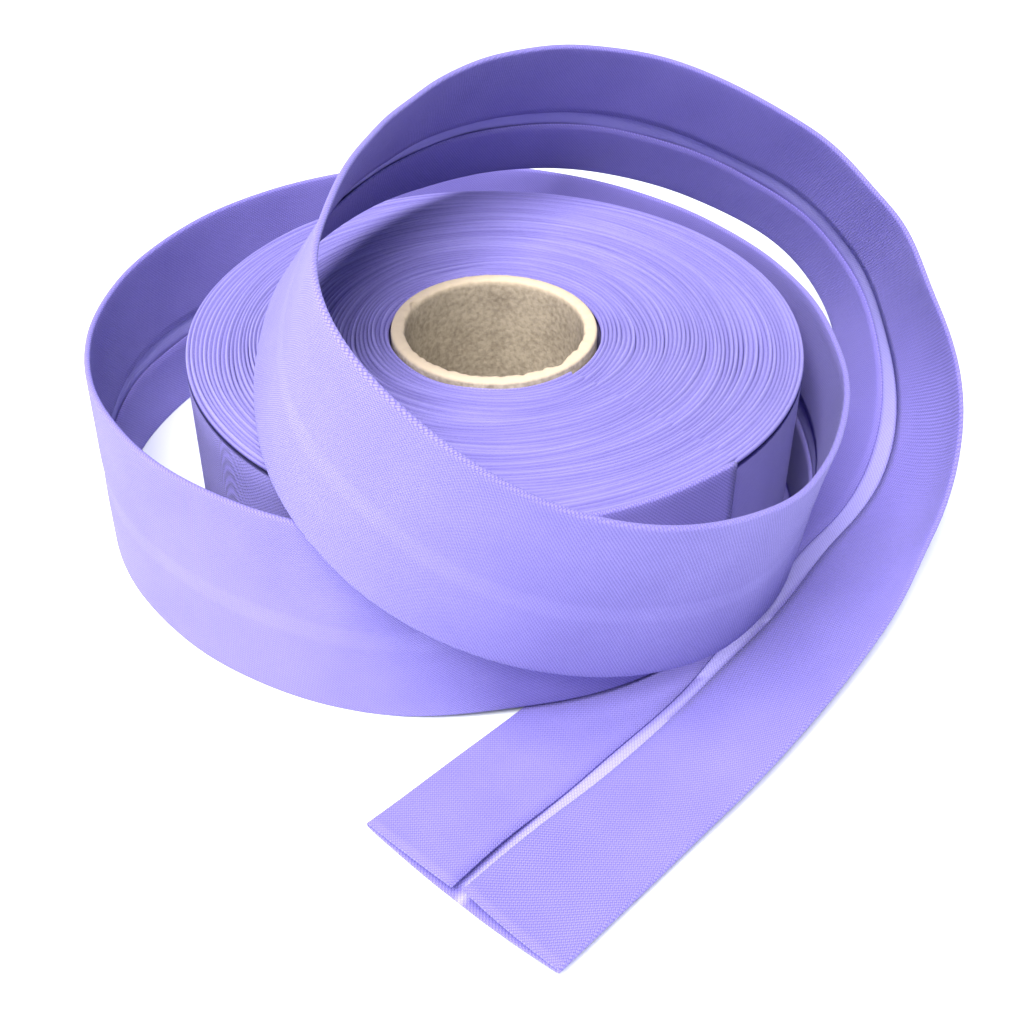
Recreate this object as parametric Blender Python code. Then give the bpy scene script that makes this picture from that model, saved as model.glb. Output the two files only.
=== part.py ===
"""Roll of folded bias binding on a cardboard core, with its last two turns come loose.

Metres, +Z up, the table at z = 0 and the origin under the middle of the whole. The pieces hang
from an empty on the roll's axis, and their own points are measured from that axis. The tape
winds clockwise seen from above. A turn angle is counted that way from where it leaves the roll.
"""
import math

import bmesh
import bpy
import numpy as np
from mathutils import Vector

MM = 0.001

# Cardboard core
CORE_OUTER_RADIUS = 14.4 * MM
CORE_WALL = 1.95 * MM
CORE_HEIGHT = 31.4 * MM
CORE_EDGE_ROUND = 0.3 * MM
CORE_SIDES = 48

# Wound turns
PIECE_GAP = 0.3 * MM
ROLL_BOTTOM = 1.6 * MM
ROLL_TOP = 31.2 * MM
ROLL_RADIUS = 42.4 * MM
ROLL_STEP = 1.2 * MM
ROLL_STEP_ANGLE = 0.8
ROLL_SIDES = 60
ROLL_WAVE = 0.15 * MM
# Rings of turns that stand a little higher or lower: share of the way out, drop below the top
ROLL_RINGS = (
    (0.00, 0.5),
    (0.05, 0.1),
    (0.16, 0.7),
    (0.24, 0.2),
    (0.45, 0.5),
    (0.62, 0.1),
    (0.80, 0.4),
)

# Folded tape
TAPE_WIDTH = 30.0 * MM
TAPE_THICKNESS = 1.0 * MM
LAYER_THICKNESS = 0.4 * MM
FOLD_INSET = 0.3 * MM
LOOP_SPACING = 7.0 * MM
TWIST_SPACING = 3.5 * MM
TWIST_TURNS = (615.0, 715.0)
LEAVE_ANGLE = -45.0

# Route of the tape's lower edge, a row for each place where it changes its way: turn angle,
# radius and height in mm, then how far the tape leans out at its lower and at its upper edge.
ROUTE = (
    # leaves the roll, standing on the tail
    (1.5, 43.5, 1.6, 0, 0),
    (22, 43.7, 1.6, 0, 0),
    (44, 44.5, 1.5, 0, 0),
    # the first loop stands on the table, away from the roll at the left
    (62, 46.4, 0, 0, 0),
    (80, 48.6, 0, 0, 0),
    (100, 51.8, 0, 0, 0),
    (125, 56.3, 0, -1, -1),
    (150, 58.6, 0, -2, -2),
    (175, 58.8, 0, -2, -2),
    (200, 56.8, 0, -1, -1),
    (230, 52.4, 0, 0, 0),
    (260, 48.6, 0, 0, 0),
    (290, 46.2, 0.8, 0, 0),
    # on the tail again, then up the first loop's face
    (308, 45.6, 1.6, 1, 1),
    (335, 45.7, 1.8, 7, 7),
    (352, 46.2, 2.6, 10, 10),
    (368, 47.6, 5.0, 13, 13),
    (385, 49.2, 9.5, 15, 15),
    (402, 50.9, 15.7, 15, 15),
    (418, 51.0, 22.8, 8, 8),
    # over the first loop's edge and across the top, leaning in
    (434, 48.1, 31.4, -5, -5),
    (448, 41.5, 34.5, -17, -17),
    (462, 35.6, 36.0, -24, -24),
    (482, 31.0, 36.6, -30, -30),
    (505, 29.5, 36.8, -34, -34),
    (530, 30.4, 36.2, -35, -33),
    (552, 34.2, 35.5, -34, -33),
    (570, 39.2, 34.5, -32, -33),
    # over the first loop's edge at the back and down outside it
    (588, 46.2, 33.2, -30, -35),
    (606, 54.1, 30.2, -30, -33),
    (622, 61.4, 24.8, -28, -32),
    (634, 65.8, 19.0, -20, -26),
    (646, 64.5, 10.3, 10, -3),
    # turns over, with its lower edge slipping flat under the roll
    (657, 56.2, 2.8, 50, 14),
    (667, 45.8, 0.6, 88, 24),
    (676, 39.5, 0.5, 90, 40),
    (688, 34.8, 0.5, 90, 56),
    (702, 32.6, 0.5, 90, 65),
    # the flat tail to its square cut end
    (722, 32.4, 0.5, 90, 70),
    (744, 37.0, 0.5, 90, 74),
    (764, 47.2, 0.5, 90, 81),
    (777.6, 65.0, 0.5, 90, 86),
)

# The two turned-in flaps: turn angle, width of the lower and of the upper flap in mm, and how
# far the free edge of each stands off the base
FLAPS = (
    (0, 11.6, 15.4, 0.2, 0.2),
    (690, 11.6, 15.2, 0.2, 0.2),
    (735, 12.8, 14.8, 0.2, 0.5),
    (765, 13.6, 14.4, 0.4, 1.2),
    (777.6, 13.8, 14.2, 0.6, 1.8),
)


def clear_scene():
    for item in list(bpy.data.objects):
        bpy.data.objects.remove(item)


def material(name, colour, roughness):
    mat = bpy.data.materials.new(name)
    mat.use_nodes = True
    shader = mat.node_tree.nodes["Principled BSDF"]
    shader.inputs["Base Color"].default_value = (*colour, 1.0)
    shader.inputs["Roughness"].default_value = roughness
    shader.inputs["Metallic"].default_value = 0.0
    return mat


def add_part(name, bm, mat, parent):
    bmesh.ops.recalc_face_normals(bm, faces=bm.faces)
    mesh = bpy.data.meshes.new(name)
    bm.to_mesh(mesh)
    bm.free()
    mesh.materials.append(mat)
    mesh.shade_smooth()
    mesh.set_sharp_from_angle(angle=math.radians(35))
    part = bpy.data.objects.new(name, mesh)
    part.parent = parent
    bpy.context.scene.collection.objects.link(part)
    return part


def skin(bm, rings, closed):
    """Join rings of points that all have the same count; cap the ends of an open run."""
    verts = [[bm.verts.new(point) for point in ring] for ring in rings]
    count = len(verts[0])
    spans = len(verts) if closed else len(verts) - 1
    for i in range(spans):
        here = verts[i]
        there = verts[(i + 1) % len(verts)]
        for j in range(count):
            k = (j + 1) % count
            bm.faces.new((here[j], here[k], there[k], there[j]))
    if not closed:
        bm.faces.new(verts[0])
        bm.faces.new(verts[-1])


def core_section():
    inner = CORE_OUTER_RADIUS - CORE_WALL
    return [
        (inner, 0.0),
        (CORE_OUTER_RADIUS, 0.0),
        (CORE_OUTER_RADIUS, CORE_HEIGHT - CORE_EDGE_ROUND),
        (CORE_OUTER_RADIUS - CORE_EDGE_ROUND, CORE_HEIGHT),
        (inner + CORE_EDGE_ROUND, CORE_HEIGHT),
        (inner, CORE_HEIGHT - CORE_EDGE_ROUND),
    ]


def make_core(mat, parent):
    bm = bmesh.new()
    rings = []
    for i in range(CORE_SIDES):
        angle = math.tau * i / CORE_SIDES
        rings.append([polar(angle, radius, height) for radius, height in core_section()])
    skin(bm, rings, closed=True)
    return add_part("core", bm, mat, parent)


def polar(angle, radius, height):
    return Vector((radius * math.cos(angle), radius * math.sin(angle), height))


def roll_section(turn):
    """Half section of the wound turns at a turn angle, whose outside grows by one tape."""
    inner = CORE_OUTER_RADIUS + PIECE_GAP
    outer = ROLL_RADIUS + ROLL_STEP * turn / 360.0
    angle = math.radians(turn)
    points = [(inner, ROLL_BOTTOM)]
    for share, drop in ROLL_RINGS:
        radius = inner + share * (ROLL_RADIUS - inner)
        wave = ROLL_WAVE * math.sin(2 * angle + 9 * share)
        points.append((radius, ROLL_TOP - drop * MM + wave))
    points.append((outer, ROLL_TOP - PIECE_GAP))
    points.append((outer, ROLL_BOTTOM))
    return points


def make_wound_roll(mat, parent):
    bm = bmesh.new()
    turns = [ROLL_STEP_ANGLE]
    turns += [360.0 * i / ROLL_SIDES for i in range(1, ROLL_SIDES + 1)]
    rings = []
    for turn in turns:
        angle = math.radians(LEAVE_ANGLE - turn)
        rings.append([polar(angle, radius, height) for radius, height in roll_section(turn)])
    skin(bm, rings, closed=True)
    return add_part("wound_roll", bm, mat, parent)


def smooth_curve(rows, stops):
    """Read a smooth curve through the rows at distances along it, by their first three columns."""
    steps = np.linalg.norm(np.diff(rows[:, :3], axis=0), axis=1)
    along = np.concatenate(([0.0], np.cumsum(steps)))
    slopes = np.diff(rows, axis=0) / steps[:, None]
    tangents = np.empty_like(rows)
    before = steps[:-1, None]
    after = steps[1:, None]
    tangents[1:-1] = (slopes[:-1] * after + slopes[1:] * before) / (before + after)
    tangents[0] = 1.5 * slopes[0] - 0.5 * tangents[1]
    tangents[-1] = 1.5 * slopes[-1] - 0.5 * tangents[-2]
    left = np.clip(np.searchsorted(along, stops, side="right") - 1, 0, len(steps) - 1)
    span = steps[left][:, None]
    t = (stops - along[left])[:, None] / span
    return (
        (2 * t**3 - 3 * t**2 + 1) * rows[left]
        + (t**3 - 2 * t**2 + t) * span * tangents[left]
        + (3 * t**2 - 2 * t**3) * rows[left + 1]
        + (t**3 - t**2) * span * tangents[left + 1]
    )


def route_rows():
    """Rows of x, y, z, lower lean, upper lean and turn angle."""
    rows = []
    for turn, radius, height, lower_lean, upper_lean in ROUTE:
        point = polar(math.radians(LEAVE_ANGLE - turn), radius * MM, height * MM)
        leans = (math.radians(lower_lean), math.radians(upper_lean))
        rows.append((*point, *leans, turn))
    return np.array(rows)


def station_stops(rows):
    """Distances along the route, closer together where the tape turns over."""
    steps = np.linalg.norm(np.diff(rows[:, :3], axis=0), axis=1)
    along = np.concatenate(([0.0], np.cumsum(steps)))
    marks = [0.0]
    marks += list(np.interp(TWIST_TURNS, rows[:, 5], along))
    marks.append(along[-1])
    stops = []
    for start, end, spacing in zip(marks, marks[1:], (LOOP_SPACING, TWIST_SPACING, LOOP_SPACING)):
        count = round((end - start) / spacing)
        stops += list(np.linspace(start, end, count, endpoint=False))
    stops.append(marks[-1])
    return np.array(stops)


def tape_section(turn):
    """Closed outline of the folded section: distance up the width, distance out from its middle."""
    table = np.array(FLAPS)
    lower, upper, lower_lift, upper_lift = (
        float(np.interp(turn, table[:, 0], table[:, k])) * MM for k in (1, 2, 3, 4)
    )
    face = TAPE_THICKNESS / 2
    slit = face - LAYER_THICKNESS
    upper_start = TAPE_WIDTH - upper
    gap_middle = (lower + upper_start) / 2
    ups = [upper_start + upper * share for share in (0.30, 0.56, 0.79)]
    low = lower * 0.5
    end = TAPE_WIDTH - FOLD_INSET
    outline = [(FOLD_INSET, face), (low, face), (gap_middle, face)]
    outline += [(s, face) for s in ups]
    outline += [(end, face), (TAPE_WIDTH, 0.0), (end, -face)]

    def lifted(depth, edge_lift, share):
        return -depth - (edge_lift - 2 * slit) * max(0.0, share) ** 2

    shares = (0.70, 0.44, 0.21)
    outline += [(s, lifted(face, upper_lift, f)) for s, f in zip(ups[::-1], shares[::-1])]
    outline.append((upper_start, lifted(face, upper_lift, 1.0)))
    outline.append((upper_start, lifted(slit, upper_lift, 1.0)))
    outline += [(s, lifted(slit, upper_lift, f)) for s, f in zip(ups, shares)]
    outline.append((TAPE_WIDTH - 2 * FOLD_INSET, 0.0))
    outline += [(s, slit) for s in ups[::-1]]
    outline += [(gap_middle, slit), (low, slit), (2 * FOLD_INSET, 0.0)]
    outline += [(low, lifted(slit, lower_lift, 0.5)), (lower, lifted(slit, lower_lift, 1.0))]
    outline += [(lower, lifted(face, lower_lift, 1.0)), (low, lifted(face, lower_lift, 0.5))]
    outline += [(FOLD_INSET, -face), (0.0, 0.0)]
    return outline


def place_on_curl(foot, rise, outward, lower_lean, upper_lean, up_width, depth):
    """A section point in space: the width curls from its lower lean to its upper lean."""
    pieces = 12
    point = foot.copy()
    step = up_width / pieces
    for i in range(pieces):
        share = (i + 0.5) * step / TAPE_WIDTH
        lean = lower_lean + (upper_lean - lower_lean) * share**2
        point += (rise * math.cos(lean) + outward * math.sin(lean)) * step
    lean = lower_lean + (upper_lean - lower_lean) * (up_width / TAPE_WIDTH) ** 2
    return point + (outward * math.cos(lean) - rise * math.sin(lean)) * depth


def make_loose_tape(mat, parent):
    rows = route_rows()
    route = smooth_curve(rows, station_stops(rows))
    tangents = np.gradient(route[:, :3], axis=0)
    rings = []
    for station, tangent in zip(route, tangents):
        along = Vector(tangent).normalized()
        outward = Vector((0.0, 0.0, 1.0)).cross(along).normalized()
        rise = along.cross(outward)
        foot = Vector(station[:3])
        foot.z = max(foot.z, TAPE_THICKNESS / 2 * abs(math.sin(station[3])))
        rings.append([
            place_on_curl(foot, rise, outward, station[3], station[4], up_width, depth)
            for up_width, depth in tape_section(station[5])
        ])
    bm = bmesh.new()
    skin(bm, rings, closed=False)
    return add_part("loose_tape", bm, mat, parent)


def centre_over_origin(axis, parts):
    """Move the roll's axis so that the box round all parts stands centred on the origin."""
    points = np.array([vert.co for part in parts for vert in part.data.vertices])
    middle = (points.min(axis=0) + points.max(axis=0)) / 2
    axis.location = (-middle[0], -middle[1], 0.0)


def main():
    clear_scene()
    axis = bpy.data.objects.new("roll_axis", None)
    bpy.context.scene.collection.objects.link(axis)
    lavender = (0.29, 0.24, 0.78)
    parts = [
        make_core(material("cardboard", (0.72, 0.60, 0.44), 0.85), axis),
        make_wound_roll(material("wound_poplin", lavender, 0.8), axis),
        make_loose_tape(material("loose_poplin", lavender, 0.8), axis),
    ]
    centre_over_origin(axis, parts)


main()
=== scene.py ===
"""Looks of the roll of bias binding: woven folded tape, wound turns and a cardboard core."""
import math
import random

import bpy
import numpy as np
from mathutils import Matrix, Vector


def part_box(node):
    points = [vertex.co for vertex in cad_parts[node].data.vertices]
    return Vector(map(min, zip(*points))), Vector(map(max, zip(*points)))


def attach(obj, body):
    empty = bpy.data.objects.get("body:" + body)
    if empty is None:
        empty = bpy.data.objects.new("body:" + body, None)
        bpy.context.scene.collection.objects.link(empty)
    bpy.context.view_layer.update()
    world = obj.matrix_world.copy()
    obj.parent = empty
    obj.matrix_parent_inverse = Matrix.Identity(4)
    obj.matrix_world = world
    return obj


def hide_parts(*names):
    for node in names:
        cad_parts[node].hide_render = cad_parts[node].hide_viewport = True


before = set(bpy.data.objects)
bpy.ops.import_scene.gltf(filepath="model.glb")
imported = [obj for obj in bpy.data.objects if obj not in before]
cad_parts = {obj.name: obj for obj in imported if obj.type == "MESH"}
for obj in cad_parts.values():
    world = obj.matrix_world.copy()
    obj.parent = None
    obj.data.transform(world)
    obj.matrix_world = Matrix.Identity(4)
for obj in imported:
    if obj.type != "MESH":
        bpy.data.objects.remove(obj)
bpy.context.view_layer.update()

MM = 0.001
CORE_LOW, CORE_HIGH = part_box("core")
ROLL_LOW, ROLL_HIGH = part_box("wound_roll")
AXIS = Vector(((CORE_LOW.x + CORE_HIGH.x) / 2, (CORE_LOW.y + CORE_HIGH.y) / 2, 0.0))
CORE_RADIUS = (CORE_HIGH.x - CORE_LOW.x) / 2
CORE_WALL = 1.95 * MM

TURN_PITCH = 0.58 * MM
TURN_COUNT = 48
ROLL_START = 14.5 * MM
TAPE_WIDTH = 30.0 * MM
CLOTH = 0.32 * MM
LAYER_MIDDLE = 0.26 * MM
LEAVE_ANGLE = -45.0
STATION = 1.3 * MM
CURL_STEPS = 60
WARP = 0.35 * MM
WEFT = 0.23 * MM

# The tape's route, as in part.py: turn angle, radius and height in mm, lower and upper lean in
# degrees. Rows up to 335 are given one by one; most values from 352 on are a rounded fit.
ROUTE = (
    (1.5, 43.5, 1.6, 0, 0),
    (22, 43.7, 1.6, 0, 0),
    (44, 44.5, 1.5, 0, 0),
    (62, 46.4, 0, 0, 0),
    (80, 48.6, 0, 0, 0),
    (100, 51.8, 0, 0, 0),
    (125, 56.3, 0, -1, -1),
    (150, 58.6, 0, -2, -2),
    (175, 58.8, 0, -2, -2),
    (200, 56.8, 0, -1, -1),
    (230, 52.4, 0, 0, 0),
    (260, 48.6, 0, 0, 0),
    (290, 46.2, 0.8, 0, 0),
    (308, 45.6, 1.6, 1, 1),
    (335, 45.7, 1.8, 7, 7),
    (352, 46.2, 2.6, 10, 10),
    (368, 47.6, 5.0, 13, 13),
    (385, 49.2, 9.5, 15, 15),
    (402, 50.9, 15.7, 15, 15),
    (418, 51.0, 22.8, 8, 8),
    (434, 48.1, 31.4, -5, -5),
    (448, 41.5, 34.5, -17, -17),
    (462, 35.6, 36.0, -24, -24),
    (482, 31.0, 36.6, -30, -30),
    (505, 29.5, 36.8, -34, -34),
    (530, 30.4, 36.2, -35, -33),
    (552, 34.2, 35.5, -34, -33),
    (570, 39.2, 34.5, -32, -33),
    (588, 46.2, 33.2, -30, -35),
    (606, 54.1, 30.2, -30, -33),
    (622, 61.4, 24.8, -28, -32),
    (634, 65.8, 19.0, -20, -26),
    (646, 64.5, 10.3, 10, -3),
    (657, 56.2, 2.8, 50, 14),
    (667, 45.8, 0.6, 88, 24),
    (676, 39.5, 0.5, 90, 40),
    (688, 34.8, 0.5, 90, 56),
    (702, 32.6, 0.5, 90, 65),
    (722, 32.4, 0.5, 90, 70),
    (744, 37.0, 0.5, 90, 74),
    (764, 47.2, 0.5, 90, 81),
    (777.6, 65.0, 0.5, 90, 86),
)
# Flaps: turn angle, lower and upper width, and lift of the lower and upper free edge, in mm
FLAPS = (
    (0, 11.6, 15.4, 0.0, 0.0),
    (690, 11.6, 15.2, 0.0, 0.0),
    (735, 12.8, 14.8, 0.0, 0.3),
    (765, 13.6, 14.4, 0.2, 0.9),
    (777.6, 13.8, 14.2, 0.4, 1.5),
)


def add_mesh(name, verts, faces, uvs, light, mat):
    """A smooth mesh with its cloth map and its light attribute, both held per vertex."""
    mesh = bpy.data.meshes.new(name)
    mesh.from_pydata(verts, [], faces)
    layer = mesh.uv_layers.new(name="cloth")
    index = np.empty(len(mesh.loops), dtype=np.int64)
    mesh.loops.foreach_get("vertex_index", index)
    layer.data.foreach_set("uv", np.asarray(uvs, dtype=np.float32)[index].ravel())
    attribute = mesh.attributes.new("light", "FLOAT", "POINT")
    attribute.data.foreach_set("value", np.asarray(light, dtype=np.float32))
    mesh.shade_smooth()
    mesh.materials.append(mat)
    piece = bpy.data.objects.new(name, mesh)
    bpy.context.scene.collection.objects.link(piece)
    return piece


def smooth_curve(rows, stops):
    """Read a smooth curve through the rows at distances along it."""
    steps = np.linalg.norm(np.diff(rows[:, :3], axis=0), axis=1)
    along = np.concatenate(([0.0], np.cumsum(steps)))
    slopes = np.diff(rows, axis=0) / steps[:, None]
    tangents = np.empty_like(rows)
    before = steps[:-1, None]
    after = steps[1:, None]
    tangents[1:-1] = (slopes[:-1] * after + slopes[1:] * before) / (before + after)
    tangents[0] = 1.5 * slopes[0] - 0.5 * tangents[1]
    tangents[-1] = 1.5 * slopes[-1] - 0.5 * tangents[-2]
    left = np.clip(np.searchsorted(along, stops, side="right") - 1, 0, len(steps) - 1)
    span = steps[left][:, None]
    t = (stops - along[left])[:, None] / span
    return (
        (2 * t**3 - 3 * t**2 + 1) * rows[left]
        + (t**3 - 2 * t**2 + t) * span * tangents[left]
        + (3 * t**2 - 2 * t**3) * rows[left + 1]
        + (t**3 - t**2) * span * tangents[left + 1]
    )


def soften(route):
    """Even out the route over about a centimetre, as stiff cloth does."""
    reach = 5
    window = np.ones(2 * reach + 1) / (2 * reach + 1)
    padded = np.concatenate([
        2 * route[0] - route[reach:0:-1],
        route,
        2 * route[-1] - route[-2:-reach - 2:-1],
    ])
    return np.stack([np.convolve(column, window, mode="valid") for column in padded.T], axis=1)


def fold_path(lower, upper, lower_lift, upper_lift, cup):
    """Middle line of the folded cloth across the tape: width, depth, flat distance, light."""
    path = []
    mid = LAYER_MIDDLE

    def add(width, depth, light):
        path.append((width, depth, light))

    for f in np.linspace(1.0, 0.0, 9):
        width = mid + (lower - mid) * f
        add(width, -mid - lower_lift * f**2, 1.0)
    for a in np.linspace(0, math.pi, 7)[1:-1]:
        add(mid - mid * math.sin(a), -mid * math.cos(a), 1.0)
    start = TAPE_WIDTH - upper
    for width in np.linspace(mid, TAPE_WIDTH - mid, 31):
        # The single layer between the flaps gets light 2.0: painted light, standing for light shining through
        # the one layer of cloth.
        painted_light_strip = lower + 0.2 * MM < width < start - 0.2 * MM
        sag = cup * math.sin(math.pi * width / TAPE_WIDTH)
        dip = 0.10 * MM * math.exp(-(((width - (lower + start) / 2) / (2.2 * MM)) ** 2))
        add(width, mid + sag - dip, 2.0 if painted_light_strip else 1.0)
    for a in np.linspace(0, math.pi, 7)[1:-1]:
        add(TAPE_WIDTH - mid + mid * math.sin(a), mid * math.cos(a), 1.0)
    for f in np.linspace(0.0, 1.0, 12):
        width = TAPE_WIDTH - mid - (upper - mid) * f
        add(width, -mid - upper_lift * f**2, 1.0)
    return np.array(path)


def cloth_section(path):
    """Closed outline of cloth of real thickness round its middle line, with flat distances."""
    line = path[:, :2]
    step = np.gradient(line, axis=0)
    step /= np.linalg.norm(step, axis=1)[:, None]
    side = np.stack([-step[:, 1], step[:, 0]], axis=1)
    flat = np.concatenate(([0.0], np.cumsum(np.linalg.norm(np.diff(line, axis=0), axis=1))))
    one = line + side * CLOTH / 2
    two = line - side * CLOTH / 2
    points = np.concatenate([one, two[::-1]])
    flats = np.concatenate([flat, flat[::-1]])
    # The strip between the flaps is painted lighter, strongly on the inner face and faintly on the outer:
    # painted light shining through the single layer.
    outer_light = 1.0 + (path[:, 2] - 1.0) * 0.08
    inner_light = 1.0 + (path[:, 2] - 1.0) * 0.75
    return points, flats, np.concatenate([outer_light, inner_light[::-1]])


def curl_table(lower_lean, upper_lean):
    """Running sums of the cosine and sine of the lean across the width."""
    share = (np.arange(CURL_STEPS) + 0.5) / CURL_STEPS
    lean = lower_lean + (upper_lean - lower_lean) * share**2
    ups = np.concatenate(([0.0], np.cumsum(np.cos(lean)))) * TAPE_WIDTH / CURL_STEPS
    outs = np.concatenate(([0.0], np.cumsum(np.sin(lean)))) * TAPE_WIDTH / CURL_STEPS
    return ups, outs


def make_tape(mat):
    """The loose folded tape, and the length of its route."""
    rows = []
    for turn, radius, height, lower_lean, upper_lean in ROUTE:
        angle = math.radians(LEAVE_ANGLE - turn)
        x = AXIS.x + radius * MM * math.cos(angle)
        y = AXIS.y + radius * MM * math.sin(angle)
        rows.append((x, y, height * MM, math.radians(lower_lean), math.radians(upper_lean), turn))
    rows = np.array(rows)
    length = np.linalg.norm(np.diff(rows[:, :3], axis=0), axis=1).sum()
    stops = np.linspace(0.0, length, round(length / STATION))
    route = soften(smooth_curve(rows, stops))
    tangents = np.gradient(route[:, :3], axis=0)
    tangents /= np.linalg.norm(tangents, axis=1)[:, None]
    outs = np.stack([-tangents[:, 1], tangents[:, 0], 0 * tangents[:, 0]], axis=1)
    outs /= np.linalg.norm(outs, axis=1)[:, None]
    rises = np.cross(tangents, outs)
    table = np.array(FLAPS)
    fine = np.linspace(0.0, TAPE_WIDTH, CURL_STEPS + 1)
    verts, uvs, light = [], [], []
    for i, stop in enumerate(stops):
        turn = route[i, 5]
        lower, upper, lower_lift, upper_lift = (
            np.interp(turn, table[:, 0], table[:, k]) * MM for k in (1, 2, 3, 4)
        )
        lower += 0.25 * MM * math.sin(stop * 210) * math.sin(stop * 63)
        upper += 0.25 * MM * math.sin(stop * 170 + 1)
        to_end = (length - stop) / (26 * MM)
        cup = 1.1 * MM * max(0.0, 1 - to_end) ** 2
        points, flats, lights = cloth_section(fold_path(lower, upper, lower_lift, upper_lift, cup))
        ups, sides = curl_table(route[i, 3], route[i, 4])
        width = np.clip(points[:, 0], 0, TAPE_WIDTH)
        over = points[:, 0] - width
        share = width / TAPE_WIDTH
        lean = route[i, 3] + (route[i, 4] - route[i, 3]) * share**2
        up = np.interp(width, fine, ups) + over * np.cos(lean)
        out = np.interp(width, fine, sides) + over * np.sin(lean)
        ripple = 0.06 * MM * np.sin(stop * 260 + flats * 150) * np.sin(stop * 97)
        depth = points[:, 1] + ripple
        up = up - depth * np.sin(lean)
        out = out + depth * np.cos(lean)
        foot = route[i, :3].copy()
        floor = TAPE_WIDTH / CURL_STEPS * abs(math.sin(route[i, 3]))
        foot[2] = max(foot[2], floor) + cup
        ring = foot + up[:, None] * rises[i] + out[:, None] * outs[i]
        ring[:, 2] = np.maximum(ring[:, 2], 0.0)
        verts.append(ring)
        uvs.append(np.stack([np.full(len(flats), stop), flats], axis=1))
        light.append(lights)
    count = len(verts[0])
    verts = np.concatenate(verts)
    faces = []
    for i in range(len(stops) - 1):
        for j in range(count):
            k = (j + 1) % count
            faces.append((i * count + j, (i + 1) * count + j, (i + 1) * count + k, i * count + k))
    half = count // 2
    last = (len(stops) - 1) * count
    for j in range(half - 1):
        faces.append((j, j + 1, count - 2 - j, count - 1 - j))
        faces.append((last + j + 1, last + j, last + count - 1 - j, last + count - 2 - j))
    piece = add_mesh("binding_tape", verts, faces, np.concatenate(uvs), np.concatenate(light), mat)
    return piece, length


def make_turns(mat):
    """The wound turns: one spiral of folded edges, each a rounded ridge of its own height, with painted shade
    in the grooves and painted highlights on the crests.
    """
    rng = random.Random(7)
    around = 260
    shares = (0.0, 0.22, 0.5, 0.78)
    bulge = (0.0, 0.75, 1.0, 0.75)
    total = around * TURN_COUNT
    knots = 14
    wander = [[rng.uniform(-1, 1) for _ in range(knots)] for _ in range(TURN_COUNT + 2)]
    gap = [rng.random() ** 4 for _ in range(TURN_COUNT + 2)]

    def wandering(k, angle):
        place = angle / math.tau * knots
        a = int(place) % knots
        f = place - int(place)
        f = f * f * (3 - 2 * f)
        return wander[k][a] * (1 - f) + wander[k][(a + 1) % knots] * f

    def ripple(radius, angle):
        swell = 0.20 * math.sin(3 * angle + radius * 420) + 0.16 * math.sin(5 * angle - radius * 700)
        edge = min(1.0, (radius - ROLL_START) / (3 * MM), max(0.0, 43 * MM - radius) / (2 * MM))
        return swell * MM * max(0.0, edge)

    verts, uvs, light = [], [], []
    top = ROLL_HIGH.z
    for i in range(total + around + 1):
        turn = i / around
        k = min(int(turn), TURN_COUNT)
        angle = math.tau * (turn - int(turn))
        here = len(shares) if i <= total else 1
        for j in range(here):
            radius = ROLL_START + TURN_PITCH * (turn + shares[j])
            if i > total:
                radius = ROLL_START + TURN_PITCH * turn
            radius += ripple(radius, angle)
            rise = bulge[j] * (0.42 + 0.22 * wandering(k, angle)) * MM
            pit = (0.3 + 1.3 * gap[k]) * MM if j == 0 and i < total else 0.0
            world = math.radians(LEAVE_ANGLE) - angle
            verts.append((
                AXIS.x + radius * math.cos(world),
                AXIS.y + radius * math.sin(world),
                top - 0.85 * MM + rise - pit * 0.6,
            ))
            uvs.append((radius * math.tau * turn, TURN_PITCH * 1.5 * (k + shares[j])))
            # Painted shade: the groove between turns is darkened, more where the gap is deeper, with some
            # random tone. Painted highlight: the crests are lightened with the bulge, plus random tone.
            shade = 0.5 - 0.5 * gap[k] + 0.2 * wandering(k + 1, angle)
            light.append(shade if j == 0 else 0.85 + 0.3 * bulge[j] + 0.16 * wandering(k, angle))
    wide = len(shares)

    def at(i, j):
        if j == wide:
            i, j = i + around, 0
        return i * wide + j if i <= total else (total + 1) * wide + (i - total - 1)

    faces = []
    for i in range(total):
        for j in range(wide):
            faces.append((at(i, j), at(i + 1, j), at(i + 1, j + 1), at(i, j + 1)))

    def wall(first, lowest):
        """Run a wall down from a ring of top points and note its lowest row."""
        rows = [first]
        for z in np.linspace(top - 1.8 * MM, lowest, 6):
            row = []
            for index in first:
                x, y, _ = verts[index]
                row.append(len(verts))
                verts.append((x, y, z))
                uvs.append((uvs[index][0], z))
                light.append(1.0)
            rows.append(row)
        for a, b in zip(rows, rows[1:]):
            for n in range(len(a) - 1):
                yield (a[n], b[n], b[n + 1], a[n + 1])
        bottoms.append(rows[-1])

    bottoms = []
    outer = [at(i, 0) for i in range(total, total + around + 1)]
    inner = [at(i, 0) for i in range(0, around + 1)]
    faces += list(wall(outer, ROLL_LOW.z))
    faces += [tuple(reversed(f)) for f in wall(inner, ROLL_LOW.z)]
    for n in range(around):
        faces.append((bottoms[0][n], bottoms[1][n], bottoms[1][n + 1], bottoms[0][n + 1]))
    return add_mesh("wound_turns", verts, faces, uvs, light, mat)


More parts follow.
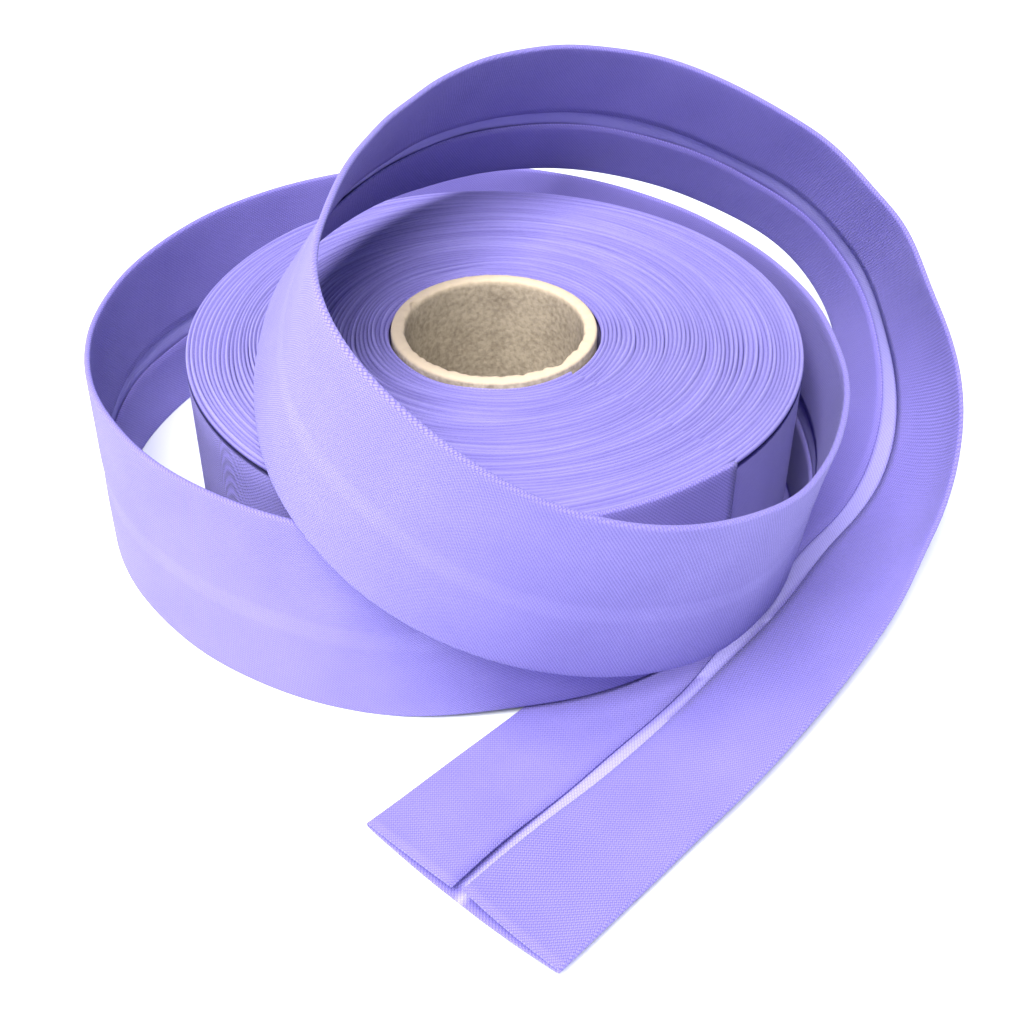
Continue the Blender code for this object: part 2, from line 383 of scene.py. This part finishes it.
def make_core(mat):
    """The cardboard tube with its slightly chipped rim."""
    rng = random.Random(3)
    around = 220
    inner = CORE_RADIUS - CORE_WALL
    top = CORE_HIGH.z
    chips = [
        (rng.uniform(0, math.tau), rng.uniform(0.015, 0.05), rng.uniform(0.05, 0.25))
        for _ in range(30)
    ]
    chips += [(math.radians(313), 0.10, 0.8), (math.radians(154), 0.09, 0.7)]
    rings = []
    for i in range(around):
        angle = math.tau * i / around
        chip = 0.0
        for place, width, depth in chips:
            away = (angle - place + math.pi) % math.tau - math.pi
            chip = max(chip, depth * math.exp(-((away / width) ** 2)))
        chip *= MM
        rough = 0.05 * MM * math.sin(31 * angle) + 0.04 * MM * math.sin(57 * angle + 1)
        section = [
            (inner, 0.0), (inner + 0.2 * MM, 0.0), (CORE_RADIUS - 0.2 * MM, 0.0), (CORE_RADIUS, 0.2 * MM),
            (CORE_RADIUS, top - 0.4 * MM), (CORE_RADIUS - 0.12 * MM, top - 0.1 * MM),
            (CORE_RADIUS - 0.35 * MM, top + rough), (CORE_RADIUS - 0.9 * MM, top + 0.05 * MM),
            (inner + 0.55 * MM + chip * 0.4, top + rough), (inner + 0.2 * MM + chip, top - 0.08 * MM + rough),
            (inner + 0.05 * MM + chip * 0.7, top - 0.35 * MM), (inner + chip * 0.2, top - 0.9 * MM),
            (inner, top - 2.5 * MM), (inner, top / 2),
        ]
        rings.append([
            (AXIS.x + r * math.cos(angle), AXIS.y + r * math.sin(angle), z) for r, z in section
        ])
    count = len(rings[0])
    verts = [point for ring in rings for point in ring]
    rim = [0, 0, 0, 0, 0, 0.8, 1, 1, 1, 1, 0.7, 0.1, 0, 0]
    light = rim * around
    uvs = [
        (math.tau * CORE_RADIUS * i / around, verts[i * count + j][2])
        for i in range(around) for j in range(count)
    ]
    faces = []
    for i in range(around):
        n = (i + 1) % around
        for j in range(count):
            k = (j + 1) % count
            faces.append((i * count + j, n * count + j, n * count + k, i * count + k))
    return add_mesh("cardboard_core", verts, faces, uvs, light, mat)


class Nodes:
    """Short calls for building a node tree."""

    def __init__(self, name):
        self.mat = bpy.data.materials.new(name)
        self.mat.use_nodes = True
        self.tree = self.mat.node_tree
        self.shader = self.tree.nodes["Principled BSDF"]

    def add(self, kind, **values):
        node = self.tree.nodes.new(kind)
        for key, value in values.items():
            setattr(node, key, value)
        return node

    def link(self, out, into):
        self.tree.links.new(out, into)

    def math(self, operation, a, b=None):
        node = self.add("ShaderNodeMath", operation=operation)
        for place, value in enumerate((a, b)):
            if value is None:
                continue
            if isinstance(value, (int, float)):
                node.inputs[place].default_value = value
            else:
                self.link(value, node.inputs[place])
        return node.outputs[0]


def poplin(name, dark, base, pale, bump):
    """Plain woven cloth cut on the bias, its threads at 45 degrees to the tape."""
    n = Nodes(name)
    uv = n.add("ShaderNodeUVMap", uv_map="cloth")
    turned = n.add("ShaderNodeMapping")
    turned.inputs["Rotation"].default_value = (0, 0, math.radians(45))
    n.link(uv.outputs[0], turned.inputs[0])
    wobble = n.add("ShaderNodeTexNoise")
    wobble.inputs["Scale"].default_value = 700
    n.link(turned.outputs[0], wobble.inputs["Vector"])
    split = n.add("ShaderNodeSeparateXYZ")
    n.link(turned.outputs[0], split.inputs[0])
    shift = n.math("MULTIPLY", wobble.outputs["Fac"], 0.9)
    across = n.math("ADD", n.math("MULTIPLY", split.outputs[0], math.pi / WARP), shift)
    down = n.math("ADD", n.math("MULTIPLY", split.outputs[1], math.pi / WEFT), shift)
    one = n.math("SINE", across)
    two = n.math("SINE", down)
    over = n.math("GREATER_THAN", n.math("MULTIPLY", one, two), 0.0)
    first = n.math("MULTIPLY", n.math("ABSOLUTE", one), over)
    second = n.math("MULTIPLY", n.math("ABSOLUTE", two), n.math("SUBTRACT", 1.0, over))
    height = n.math("ADD", first, second)
    blotch = n.add("ShaderNodeTexNoise")
    blotch.inputs["Scale"].default_value = 90
    blotch.inputs["Detail"].default_value = 4
    n.link(uv.outputs[0], blotch.inputs["Vector"])
    # The light attribute paints shade and light into the colour: 0 gives the dark colour (painted shade in
    # the grooves between turns), 1 the base cloth colour, 2 the pale colour (painted light in the
    # single-layer strip and on the crests). The weave's height and random blotches then shift the level.
    attribute = n.add("ShaderNodeAttribute", attribute_name="light")
    level = n.math("MULTIPLY", attribute.outputs["Fac"], 0.5)
    level = n.math("ADD", level, n.math("MULTIPLY", n.math("SUBTRACT", height, 0.72), 0.34))
    level = n.math("ADD", level, n.math("MULTIPLY", n.math("SUBTRACT", blotch.outputs["Fac"], 0.5), 0.12))
    ramp = n.add("ShaderNodeValToRGB")
    ramp.color_ramp.elements[0].color = (*dark, 1)
    ramp.color_ramp.elements[1].color = (*pale, 1)
    middle = ramp.color_ramp.elements.new(0.5)
    middle.color = (*base, 1)
    n.link(level, ramp.inputs[0])
    n.link(ramp.outputs[0], n.shader.inputs["Base Color"])
    relief = n.add("ShaderNodeBump")
    relief.inputs["Strength"].default_value = bump
    relief.inputs["Distance"].default_value = 0.0001
    n.link(height, relief.inputs["Height"])
    n.link(relief.outputs[0], n.shader.inputs["Normal"])
    n.shader.inputs["Roughness"].default_value = 0.82
    n.shader.inputs["Sheen Weight"].default_value = 0.12
    n.shader.inputs["Sheen Roughness"].default_value = 0.5
    n.shader.inputs["Specular IOR Level"].default_value = 0.25
    return n.mat


def cardboard():
    n = Nodes("grey_board")
    place = n.add("ShaderNodeTexCoord")
    fleck = n.add("ShaderNodeTexNoise")
    fleck.inputs["Scale"].default_value = 1500
    fleck.inputs["Detail"].default_value = 6
    n.link(place.outputs["Object"], fleck.inputs["Vector"])
    cloud = n.add("ShaderNodeTexNoise")
    cloud.inputs["Scale"].default_value = 180
    n.link(place.outputs["Object"], cloud.inputs["Vector"])
    ramp = n.add("ShaderNodeValToRGB")
    ramp.color_ramp.elements[0].position = 0.3
    ramp.color_ramp.elements[0].color = (0.26, 0.21, 0.15, 1)
    ramp.color_ramp.elements[1].position = 0.62
    ramp.color_ramp.elements[1].color = (0.50, 0.42, 0.31, 1)
    flecks = n.math("MULTIPLY", fleck.outputs["Fac"], 0.7)
    clouds = n.math("MULTIPLY", cloud.outputs["Fac"], 0.3)
    mixed = n.math("ADD", flecks, clouds)
    n.link(mixed, ramp.inputs[0])
    rim = n.add("ShaderNodeAttribute", attribute_name="light")
    mix = n.add("ShaderNodeMix", data_type="RGBA")
    n.link(rim.outputs["Fac"], mix.inputs[0])
    n.link(ramp.outputs[0], mix.inputs[6])
    mix.inputs[7].default_value = (0.62, 0.50, 0.35, 1)
    n.link(mix.outputs[2], n.shader.inputs["Base Color"])
    relief = n.add("ShaderNodeBump")
    relief.inputs["Strength"].default_value = 0.4
    relief.inputs["Distance"].default_value = 0.0002
    n.link(fleck.outputs["Fac"], relief.inputs["Height"])
    n.link(relief.outputs[0], n.shader.inputs["Normal"])
    n.shader.inputs["Roughness"].default_value = 0.9
    return n.mat


def make_stage():
    """A plain pale floor, just under the part."""
    size = 3.0
    drop = -0.05 * MM
    mesh = bpy.data.meshes.new("floor")
    corners = [(-size, -size, drop), (size, -size, drop), (size, size, drop), (-size, size, drop)]
    mesh.from_pydata(corners, [], [(0, 1, 2, 3)])
    floor = bpy.data.objects.new("floor", mesh)
    bpy.context.scene.collection.objects.link(floor)
    n = Nodes("white_floor")
    n.shader.inputs["Base Color"].default_value = (0.92, 0.95, 0.97, 1)
    n.shader.inputs["Roughness"].default_value = 0.9
    mesh.materials.append(n.mat)


def area_light(name, place, target, size, power, colour):
    light = bpy.data.lights.new(name, "AREA")
    light.size = size
    light.energy = power
    light.color = colour
    lamp = bpy.data.objects.new(name, light)
    lamp.location = place
    lamp.rotation_euler = (Vector(target) - Vector(place)).to_track_quat("-Z", "Y").to_euler()
    bpy.context.scene.collection.objects.link(lamp)


def make_lights():
    area_light("key_softbox", (-0.12, -0.38, 0.78), AXIS, 0.55, 17.0, (1.0, 0.99, 0.99))
    area_light("left_softbox", (-0.80, -0.10, 0.16), AXIS, 0.35, 3.5, (0.98, 0.98, 1.0))
    world = bpy.data.worlds.new("studio")
    world.use_nodes = True
    background = world.node_tree.nodes["Background"]
    background.inputs[0].default_value = (0.80, 0.88, 1.0, 1)
    background.inputs[1].default_value = 0.40
    bpy.context.scene.world = world
    bpy.context.scene.view_settings.view_transform = "Standard"


def make_camera():
    camera = bpy.data.cameras.new("camera")
    camera.lens = 51.0
    camera.sensor_width = 36.0
    eye = bpy.data.objects.new("camera", camera)
    right = Vector((0.99998, 0.00429, 0.00531))
    upward = Vector((-0.00682, 0.62815, 0.77806))
    back = right.cross(upward)
    turn = Matrix((right, upward, back)).transposed().to_4x4()
    eye.matrix_world = Matrix.Translation(AXIS + Vector((0.00267, -0.17363, 0.1382))) @ turn
    bpy.context.scene.collection.objects.link(eye)
    bpy.context.scene.camera = eye


def settle(piece, node=None):
    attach(piece, "root")
    if node:
        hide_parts(node)


def main():
    make_camera()
    # For each cloth the first colour is the painted shade colour and the third the painted light colour; the
    # second is the cloth's own colour.
    loose = poplin("loose_poplin", (0.020, 0.013, 0.17), (0.235, 0.195, 0.60), (0.50, 0.46, 0.90), 0.7)
    wound = poplin("wound_poplin", (0.020, 0.013, 0.17), (0.26, 0.22, 0.62), (0.52, 0.48, 0.92), 0.5)
    board = cardboard()
    tape, length = make_tape(loose)
    settle(tape, "loose_tape")
    settle(make_turns(wound), "wound_roll")
    settle(make_core(board), "core")
    make_stage()
    make_lights()


main()
